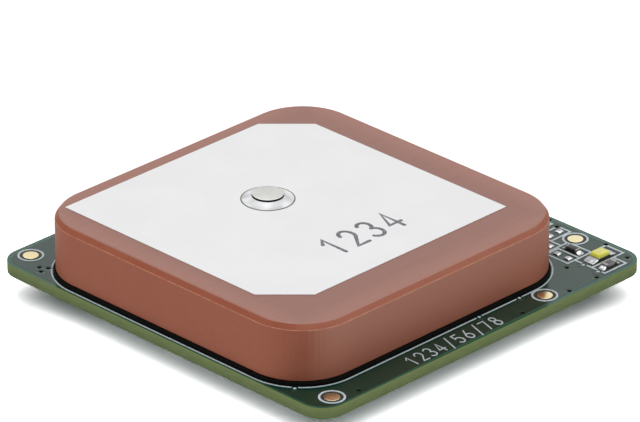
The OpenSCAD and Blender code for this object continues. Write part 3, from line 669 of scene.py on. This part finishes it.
FINISH = {
    "board": board_finish(),
    "ceramic": ceramic_finish(),
    "silver": silver_finish(),
    "solder": solder_finish(),
    "ring": ring_finish(),
    "lamp_lens": lens_finish(),
    "resistor": resistor_finish(),
    "print": ink_finish("print_finish", (srgb(176, 187, 193), srgb(202, 211, 217)), roughness=0.55),
    "digits": ink_finish("digits_finish", (srgb(96, 96, 100), srgb(136, 136, 142)), roughness=0.6),
    "gold": metal_finish("gold_finish", (srgb(234, 215, 163), srgb(241, 227, 187)),
                         roughness=0.27, grain=0.5, depth=0.0004),
    "pin": metal_finish("pin_finish", (srgb(203, 203, 199), srgb(216, 216, 212)), roughness=0.34),
    "tin": metal_finish("tin_finish", (srgb(132, 128, 124), srgb(172, 169, 165)), roughness=0.3),
    "shield": metal_finish("shield_finish", (srgb(200, 203, 205), srgb(205, 208, 210)),
                           roughness=0.3, grain=0.1, depth=0.003, stretch=(1, 40, 1)),
    "cell": metal_finish("cell_finish", (srgb(190, 190, 188), srgb(210, 210, 208)),
                         roughness=0.3, grain=0.12),
    "lid": metal_finish("lid_finish", (srgb(214, 190, 130), srgb(228, 208, 150)), roughness=0.3),
    "adhesive": moulded_finish("adhesive_finish", (srgb(5, 6, 5), srgb(13, 14, 12)),
                               roughness=0.85, grain=0.05, depth=0.02, stretch=(1, 1, 12), sheen=0.06),
    # Lamp base: partly its own dark substrate, partly painted shade from the lens above it
    "lamp_base": moulded_finish("lamp_base_finish", (srgb(58, 56, 44), srgb(80, 77, 60)), roughness=0.5),
    "ferrite": moulded_finish("ferrite_finish", (srgb(26, 23, 22), srgb(44, 38, 35)),
                              roughness=0.3, grain=0.1),
    "chip": moulded_finish("chip_finish", (srgb(28, 29, 31), srgb(40, 41, 43)),
                           roughness=0.5, grain=0.06),
    "tray": moulded_finish("tray_finish", (srgb(92, 70, 52), srgb(108, 84, 64)), roughness=0.5),
    "filter": moulded_finish("filter_finish", (srgb(88, 96, 106), srgb(104, 112, 122)), roughness=0.45),
    "capacitor": moulded_finish("capacitor_finish", (srgb(172, 140, 104), srgb(188, 158, 122)),
                                roughness=0.4),
    "housing": moulded_finish("housing_finish", (srgb(232, 225, 204), srgb(241, 236, 218)),
                              roughness=0.42, grain=0.2),
}


# Mesh helpers
def piece(name, mesh, finish, replaces=(), even=True):
    """Turns a bmesh into a piece of the object, shaded smooth, with flat faces kept flat where even."""
    bmesh.ops.recalc_face_normals(mesh, faces=mesh.faces)
    for face in mesh.faces:
        face.smooth = True
    data = bpy.data.meshes.new(name)
    mesh.to_mesh(data)
    mesh.free()
    data.materials.append(FINISH[finish])
    made = bpy.data.objects.new(name, data)
    bpy.context.scene.collection.objects.link(made)
    if even:
        made.modifiers.new("even_normals", "WEIGHTED_NORMAL").keep_sharp = True
    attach(made, "root")
    for node in replaces:
        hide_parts(node)
    return made


def softened(node, width, finish):
    """A piece that stands for a CAD node, with its sharp edges rounded over a width."""
    mesh = welded(node)
    sharp = [edge for edge in mesh.edges if edge.is_manifold and edge.calc_face_angle() > SHARP_TURN]
    bmesh.ops.bevel(mesh, geom=sharp, offset=width, offset_type="OFFSET", segments=2, profile=0.5,
                    affect="EDGES", clamp_overlap=True)
    return piece("soft_" + node, mesh, finish, [node])


def skin(mesh, rings, closed=False):
    """Joins rings of equally many points into a tube, with its ends filled unless it is closed."""
    made = [[mesh.verts.new(point) for point in ring] for ring in rings]
    pairs = list(zip(made, made[1:]))
    if closed:
        pairs.append((made[-1], made[0]))
    for first, second in pairs:
        for n in range(len(first)):
            m = (n + 1) % len(first)
            mesh.faces.new((first[n], first[m], second[m], second[n]))
    if not closed:
        mesh.faces.new(made[0])
        mesh.faces.new(made[-1])


def lathe(mesh, at, profile, steps=96):
    """Turns a closed profile of radius and height about an upright axis."""
    rings = []
    for n in range(steps):
        turn = 2 * math.pi * n / steps
        rings.append([(at.x + r * math.cos(turn), at.y + r * math.sin(turn), z) for r, z in profile])
    skin(mesh, rings, closed=True)
    bmesh.ops.remove_doubles(mesh, verts=mesh.verts, dist=WELD)


def mound(mesh, place, size, height, steps=14):
    """Adds a closed mound on a rectangle. Its height is given over places from -1 to 1 each way."""
    shares = [2 * n / steps - 1 for n in range(steps + 1)]
    tops = []
    for v in shares:
        row = []
        for u in shares:
            x = u * math.sqrt(1 - MOUND_CORNER * v ** 4) * size.x / 2
            y = v * math.sqrt(1 - MOUND_CORNER * u ** 4) * size.y / 2
            row.append(mesh.verts.new(place @ Vector((x, y, height(u, v)))))
        tops.append(row)
    for low, high in zip(tops, tops[1:]):
        for n in range(steps):
            mesh.faces.new((low[n], low[n + 1], high[n + 1], high[n]))
    sides = [row[-1] for row in tops[:-1]], [row[0] for row in tops[:0:-1]]
    skirt(mesh, place, tops[0][:-1] + sides[0] + tops[-1][:0:-1] + sides[1])


def skirt(mesh, place, border):
    """Closes a mound with upright walls from its border to the foot of its place, and a floor."""
    flat = place.inverted()
    foot = []
    for vert in border:
        local = flat @ vert.co
        foot.append(mesh.verts.new(place @ Vector((local.x, local.y, 0))))
    for n in range(len(border)):
        m = (n + 1) % len(border)
        mesh.faces.new((border[n], foot[n], foot[m], border[m]))
    mesh.faces.new(foot)


def dome(crown, rim):
    """Height of a cushion of solder with a rounded edge."""
    def height(u, v):
        return rim + crown * ((1 - abs(u) ** DOME_SIDE) * (1 - abs(v) ** DOME_SIDE)) ** DOME_CREST
    return height


def fillet(rise, rim, hollow=1.7, droop=0.45):
    """Height of a slope that falls from a chip's end at u = -1 to a rim at u = 1, and droops at its sides."""
    def height(u, v):
        out = (u + 1) / 2
        return rim + rise * (1 - out) ** hollow * (1 - droop * v ** 4)
    return height


def placement(at, outward, up=1):
    """Place whose own X runs outward and whose Z leaves the board."""
    axis_x = Vector(outward).normalized()
    axis_z = Vector((0, 0, up))
    axis_y = axis_z.cross(axis_x)
    turn = Matrix((axis_x, axis_y, axis_z)).transposed().to_4x4()
    return Matrix.Translation(at) @ turn


# Solder at the ends of chips
def outward_from(centre, at):
    """The nearest axis direction from a centre to a place, in plan."""
    away = at - centre
    if abs(away.x) > abs(away.y):
        return Vector((math.copysign(1, away.x), 0, 0))
    return Vector((0, math.copysign(1, away.y), 0))


def chip_middle(ends, centre):
    """Middle between a metal end and the other end of the same chip."""
    others = [(low + high) / 2 for low, high in ends]
    others = [other for other in others if (other - centre).length > WELD]
    return (centre + min(others, key=lambda other: (other - centre).length)) / 2


def chip_ends(node, board_z, up):
    """Each metal end of a node's chips: middle, outward way, depth, width and height off the board."""
    ends = solids(node)
    for low, high in ends:
        centre = (low + high) / 2
        outward = outward_from(chip_middle(ends, centre), centre)
        span = high - low
        depth = abs(span.dot(outward))
        tall = (high.z - board_z) if up > 0 else (board_z - low.z)
        yield centre, outward, depth, span.x + span.y - depth, tall


def end_fillets(mesh, node, board_z, up):
    """Hollow slopes of solder from a chip's end faces down to the board."""
    for centre, outward, depth, width, tall in chip_ends(node, board_z, up):
        at = centre + outward * (depth + SOLDER_REACH) / 2
        at.z = board_z
        size = Vector((SOLDER_REACH, width * SOLDER_SPREAD))
        mound(mesh, placement(at, outward, up), size, fillet(SOLDER_CLIMB * tall, SOLDER_RIM))


def chip_solder():
    """Solder of the resistor and of the bead."""
    mesh = bmesh.new()
    for node in ("chip_resistor_ends", "ferrite_bead_ends"):
        end_fillets(mesh, node, BOARD_TOP, 1)
    piece("chip_solder", mesh, "solder", ["solder_fillets"], even=False)


def lamp_ends():
    """Thin plates at the ends of the lamp's base, and the slopes of solder that cover them."""
    plates, slopes = bmesh.new(), bmesh.new()
    for centre, outward, depth, width, tall in chip_ends("led_terminals", BOARD_TOP, 1):
        at = Vector((centre.x, centre.y, BOARD_TOP))
        plate = fillet(PLATE_CLIMB * tall, SOLDER_RIM, hollow=0.9, droop=0.0)
        mound(plates, placement(at, outward), Vector((depth, PLATE_SPREAD * width)), plate)
        at += outward * SOLDER_REACH / 2
        slope = fillet(tall, SOLDER_RIM, hollow=1.25, droop=0.2)
        mound(slopes, placement(at, outward), Vector((depth + SOLDER_REACH, SOLDER_SPREAD * width)), slope)
    piece("lamp_plates", plates, "tin", ["led_terminals"], even=False)
    piece("lamp_solder", slopes, "solder", even=False)


# Solder on pads and round feet
def bare_pads():
    """Domes of solder on the pads of chips that are not fitted."""
    mesh = bmesh.new()
    for low, high in solids("bare_solder_pads"):
        at = (low + high) / 2
        place = placement(Vector((at.x, at.y, BOARD_TOP)), (1, 0, 0))
        mound(mesh, place, high - low, dome(PAD_CROWN, SOLDER_RIM))
    piece("bare_pads", mesh, "solder", ["bare_solder_pads"], even=False)


def foot_pools(mesh, node):
    """Low pools of solder round the feet of a node's leads on the underside."""
    for low, high in solids(node, BOARD_UNDER):
        at = (low + high) / 2
        size = high - low + Vector((POOL_MARGIN, POOL_MARGIN, 0)) * 2
        place = placement(Vector((at.x, at.y, BOARD_UNDER)), (1, 0, 0), -1)
        mound(mesh, place, size, dome(POOL_CROWN, SOLDER_RIM))


def under_solder():
    """Solder of the capacitors and of the leads on the underside."""
    mesh = bmesh.new()
    end_fillets(mesh, "capacitor_ends", BOARD_UNDER, -1)
    for node in ("regulator_leads", "backup_cell_tabs", "connector_contacts", "connector_anchors"):
        foot_pools(mesh, node)
    piece("under_solder", mesh, "solder", even=False)


# Feed pin and its solder
def feed_pin():
    """Pin with a thin head that stands a little clear of the solder."""
    round_off = 0.3 * HEAD_EDGE
    under_head = PIN_HIGH.z - HEAD_T
    mesh = bmesh.new()
    lathe(mesh, PIN_AT, [
        (0, PIN_LOW.z), (PIN_R - PIN_POINT, PIN_LOW.z), (PIN_R, PIN_LOW.z + PIN_POINT), (PIN_R, under_head),
        (HEAD_R - HEAD_EDGE, under_head), (HEAD_R, under_head + HEAD_EDGE), (HEAD_R, PIN_HIGH.z - HEAD_EDGE),
        (HEAD_R - round_off, PIN_HIGH.z - round_off), (HEAD_R - HEAD_EDGE, PIN_HIGH.z), (0, PIN_HIGH.z),
    ])
    piece("feed_pin_turned", mesh, "pin", ["feed_pin"])


def feed_solder(steps=16):
    """Hollow ring of solder that rises from the silver to just under the pin's head."""
    inner_r = PIN_R + PIN_PLAY
    crest = RING_HIGH.z - CREST_DROP
    rim = ELECTRODE_TOP + SOLDER_RIM
    profile = [(inner_r, ELECTRODE_TOP), (inner_r, crest)]
    for n in range(steps + 1):
        out = n / steps
        profile.append((CREST_R + (RING_R - CREST_R) * out, rim + (crest - rim) * (1 - out) ** RING_HOLLOW))
    profile.append((RING_R, ELECTRODE_TOP))
    mesh = bmesh.new()
    lathe(mesh, PIN_AT, profile)
    piece("feed_solder_ring", mesh, "ring", ["feed_solder_top"], even=False)


# Print: a stroke font on a cell one unit high, with curves as arcs
def arc(centre, radii, start, end, steps=14):
    """Points along an ellipse from one angle to another, in degrees."""
    points = []
    for n in range(steps + 1):
        turn = math.radians(start + (end - start) * n / steps)
        points.append((centre[0] + radii[0] * math.cos(turn), centre[1] + radii[1] * math.sin(turn)))
    return points


GLYPH_WIDTH = 0.75
GLYPH_MIDDLE = (0.3, 0.5)
GLYPHS = {
    "1": [[(0.1, 0.76), (0.36, 1.0), (0.36, 0.0)]],
    "2": [arc((0.3, 0.7), (0.29, 0.3), 165, -32) + [(0.0, 0.0), (0.6, 0.0)]],
    "3": [arc((0.27, 0.76), (0.27, 0.24), 150, -75), arc((0.27, 0.27), (0.32, 0.27), 75, -150)],
    "4": [[(0.44, 0.0), (0.44, 1.0), (0.0, 0.28), (0.62, 0.28)]],
    "5": [[(0.56, 1.0), (0.1, 1.0), (0.06, 0.56)] + arc((0.27, 0.32), (0.32, 0.32), 118, -145)],
    "6": [[(0.48, 1.0), (0.12, 0.52)] + arc((0.3, 0.29), (0.29, 0.29), 140, -220, 24)],
    "7": [[(0.0, 1.0), (0.6, 1.0), (0.2, 0.0)]],
    "8": [arc((0.3, 0.76), (0.24, 0.24), -90, 270, 24), arc((0.3, 0.26), (0.29, 0.26), 90, 450, 24)],
    "/": [[(0.05, -0.18), (0.6, 1.12)]],
}
# Ribbon: share of its width that is flat on top, its rise from ring to ring, its round ends and its mitres
RIBBON_FLAT = 0.86
RIBBON_RISE = 0.02
RIBBON_CAP = [math.radians(turn) for turn in (80, 60, 40, 20)]
MITRE_MOST = 1.5
MITRE_LEAST_DOT = 0.3


def across(way):
    """The way to the left of another, in plan."""
    return Vector((-way.y, way.x))


def ribbon(mesh, points, width, thick, place):
    """A flat line of ink with round ends along points in plan, which rises a little so as to cross itself."""
    path = [Vector(point) for point in points]
    ways = [(b - a).normalized() for a, b in zip(path, path[1:])]
    half = width / 2
    rings = []

    def ring(at, way, reach):
        side = across(way) * reach
        top = thick * (1 + RIBBON_RISE * len(rings))
        flat = side * RIBBON_FLAT
        profile = [(at + side, 0), (at + flat, top), (at - flat, top), (at - side, 0)]
        rings.append([place @ Vector((p.x, p.y, z)) for p, z in profile])

    for turn in RIBBON_CAP:
        ring(path[0] - ways[0] * half * math.sin(turn), ways[0], half * math.cos(turn))
    ring(path[0], ways[0], half)
    for n in range(1, len(path) - 1):
        mean = (ways[n - 1] + ways[n]).normalized()
        stretch = min(MITRE_MOST, 1 / max(MITRE_LEAST_DOT, mean.dot(ways[n])))
        ring(path[n], mean, half * stretch)
    ring(path[-1], ways[-1], half)
    for turn in reversed(RIBBON_CAP):
        ring(path[-1] + ways[-1] * half * math.sin(turn), ways[-1], half * math.cos(turn))
    skin(mesh, rings)


def printed(name, text, middle_at, finish, height, pitch, line, thick):
    """A row of characters that reads along +Y, with its tops towards -X."""
    mesh = bmesh.new()
    turn = Matrix(((0, -1, 0), (1, 0, 0), (0, 0, 1))).to_4x4()
    place = Matrix.Translation(middle_at) @ turn
    start = -pitch * (len(text) - 1) / 2
    for n, letter in enumerate(text):
        for stroke in GLYPHS[letter]:
            points = [(start + n * pitch + (x - GLYPH_MIDDLE[0]) * GLYPH_WIDTH * height,
                       (y - GLYPH_MIDDLE[1]) * height) for x, y in stroke]
            ribbon(mesh, points, line, thick, place)
    piece(name, mesh, finish, even=False)


def prints():
    """Plain numbers where the board and the silver carry print."""
    on_board = Vector((BOARD_HIGH.x - BOARD_ROW_IN, BOARD_LOW.y + BOARD_ROW_ALONG, BOARD_TOP))
    printed("board_number", "1234/56/78", on_board, "print",
            height=1.1 * MM, pitch=0.86 * MM, line=0.105 * MM, thick=0.02 * MM)
    on_silver = Vector((ELECTRODE_AT.x + SILVER_ROW_X, ELECTRODE_AT.y + SILVER_ROW_Y, ELECTRODE_TOP))
    printed("silver_number", "1234", on_silver, "digits",
            height=2.2 * MM, pitch=1.74 * MM, line=0.28 * MM, thick=0.012 * MM)


# Pieces that follow a CAD node: finish, and width of its rounded edges in millimetres
SOFT_NODES = {
    "circuit_board": ("board", 0.03),
    "antenna_ceramic": ("ceramic", 0.07),
    "antenna_electrode": ("silver", 0.012),
    "adhesive_pad": ("adhesive", 0.05),
    "test_pads": ("gold", 0.012),
    "led_base": ("lamp_base", 0.02),
    "led_lens": ("lamp_lens", 0.05),
    "chip_resistor_body": ("resistor", 0.02),
    "chip_resistor_ends": ("tin", 0.02),
    "ferrite_bead_body": ("ferrite", 0.03),
    "ferrite_bead_ends": ("tin", 0.02),
    "shield_cover": ("shield", 0.04),
    "regulator_body": ("chip", 0.04),
    "regulator_leads": ("tin", 0.03),
    "backup_cell": ("cell", 0.05),
    "backup_cell_tabs": ("cell", 0.03),
    "connector_housing": ("housing", 0.06),
    "connector_contacts": ("tin", 0.03),
    "connector_anchors": ("tin", 0.04),
}
# CAD nodes that are shown as they are
PLAIN_NODES = {
    "silkscreen": "print", "antenna_ground_plane": "silver", "feed_solder_bottom": "solder",
    "shield_fence": "shield", "receiver_chip": "chip", "oscillator_base": "tray", "oscillator_lid": "lid",
    "watch_crystal_base": "tray", "watch_crystal_lid": "lid", "saw_filter": "filter",
    "low_noise_amplifier": "chip", "flash_memory": "chip", "capacitor_bodies": "capacitor",
    "capacitor_ends": "tin",
}


def dress_nodes():
    """Softens the nodes that show their edges, and gives the others their finish."""
    for node, (finish, width) in SOFT_NODES.items():
        softened(node, width * MM, finish)
    for node, finish in PLAIN_NODES.items():
        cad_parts[node].data.materials[0] = FINISH[finish]


# Stage
def looking(azimuth, elevation):
    """Turn of a camera or lamp that looks at the object from an azimuth and an elevation in degrees."""
    turn = Matrix.Rotation(math.radians(azimuth), 4, "Z")
    tilt = Matrix.Rotation(math.radians(90 - elevation), 4, "X")
    return turn @ tilt


def stand_off(aim, distance):
    """Place at a distance from the point that the camera looks at."""
    return Matrix.Translation(CAMERA_AIM + aim.col[2].xyz * distance) @ aim


def place_camera():
    """Camera at the photograph's angle."""
    data = bpy.data.cameras.new("camera")
    data.lens = CAMERA_LENS
    data.sensor_width = CAMERA_SENSOR
    data.sensor_fit = "HORIZONTAL"
    data.clip_start = CAMERA_CLIP
    camera = bpy.data.objects.new("camera", data)
    roll = Matrix.Rotation(math.radians(CAMERA_ROLL), 4, "Z")
    camera.matrix_world = stand_off(looking(CAMERA_AZIMUTH, CAMERA_ELEVATION) @ roll, CAMERA_DISTANCE)
    bpy.context.scene.collection.objects.link(camera)
    bpy.context.scene.camera = camera


def place_lamps():
    """Square soft lamps that face the object."""
    for name, (azimuth, elevation, side, power) in LAMPS.items():
        data = bpy.data.lights.new(name, "AREA")
        data.size = side
        data.energy = power
        lamp = bpy.data.objects.new(name, data)
        lamp.matrix_world = stand_off(looking(azimuth, elevation), LAMP_DISTANCE)
        bpy.context.scene.collection.objects.link(lamp)


def floor_finish():
    """Pale paint, white to the eye and in mirrors, that keeps the object's shadow. To the eye it is painted
    brighter by the board, which lifts the shadow's edge, and less so at the board's tips, which leaves a
    painted shadow there.
    """
    look = Shader("floor_finish")
    levels = (FLOOR_ALBEDO, FLOOR_MIRRORED, FLOOR_GAIN, FLOOR_TIP_SHADOW_GAIN, FLOOR_GAIN_FAR)
    lit, mirror, gain, tip_shadow, far = [(level, level, level, 1) for level in levels]
    close = look.step(look.rim_distance(BOARD_HALF / MM, BOARD_CORNER_R), *FLOOR_CLOSE)
    near = look.step(look.nearest([NEAR_CORNER]), *FLOOR_TIP_SHADOW_REACH)
    bright = look.mix(close, far, look.mix(near, tip_shadow, gain))
    path = look.add("ShaderNodeLightPath").outputs
    mirrored = look.math("MAXIMUM", path["Is Glossy Ray"], path["Is Transmission Ray"])
    paint = look.add("ShaderNodeBsdfDiffuse")
    seen = look.mix(path["Is Camera Ray"], look.mix(mirrored, lit, mirror), bright)
    look.put(paint.inputs["Color"], seen)
    look.put(look.tree.nodes["Material Output"].inputs["Surface"], paint.outputs[0])
    look.tree.nodes.remove(look.surface)
    return look.material


def place_floor():
    """Floor just under the object."""
    mesh = bmesh.new()
    bmesh.ops.create_grid(mesh, x_segments=1, y_segments=1, size=FLOOR_SIZE / 2)
    data = bpy.data.meshes.new("floor")
    mesh.to_mesh(data)
    mesh.free()
    data.materials.append(floor_finish())
    floor = bpy.data.objects.new("floor", data)
    floor.location.z = -FLOOR_DROP
    bpy.context.scene.collection.objects.link(floor)


def either(tree, first, second):
    """The larger of two numbers in a node tree."""
    node = tree.nodes.new("ShaderNodeMath")
    node.operation = "MAXIMUM"
    tree.links.new(first, node.inputs[0])
    tree.links.new(second, node.inputs[1])
    return node.outputs[0]


def place_sky():
    """Even light from all round, seen as white."""
    world = bpy.data.worlds.new("studio")
    bpy.context.scene.world = world
    world.use_nodes = True
    tree = world.node_tree
    sky = tree.nodes["Background"]
    sky.inputs["Color"].default_value = (1, 1, 1, 1)
    path = tree.nodes.new("ShaderNodeLightPath").outputs
    mirrored = either(tree, path["Is Glossy Ray"], path["Is Transmission Ray"])
    level = tree.nodes.new("ShaderNodeMapRange")
    level.inputs["To Min"].default_value = AMBIENT
    level.inputs["To Max"].default_value = 1.0
    tree.links.new(either(tree, path["Is Camera Ray"], mirrored), level.inputs["Value"])
    tree.links.new(level.outputs[0], sky.inputs["Strength"])


dress_nodes()
chip_solder()
lamp_ends()
bare_pads()
feed_pin()
feed_solder()
prints()
under_solder()
place_camera()
place_floor()
place_sky()
place_lamps()
bpy.context.scene.view_settings.view_transform = "Standard"
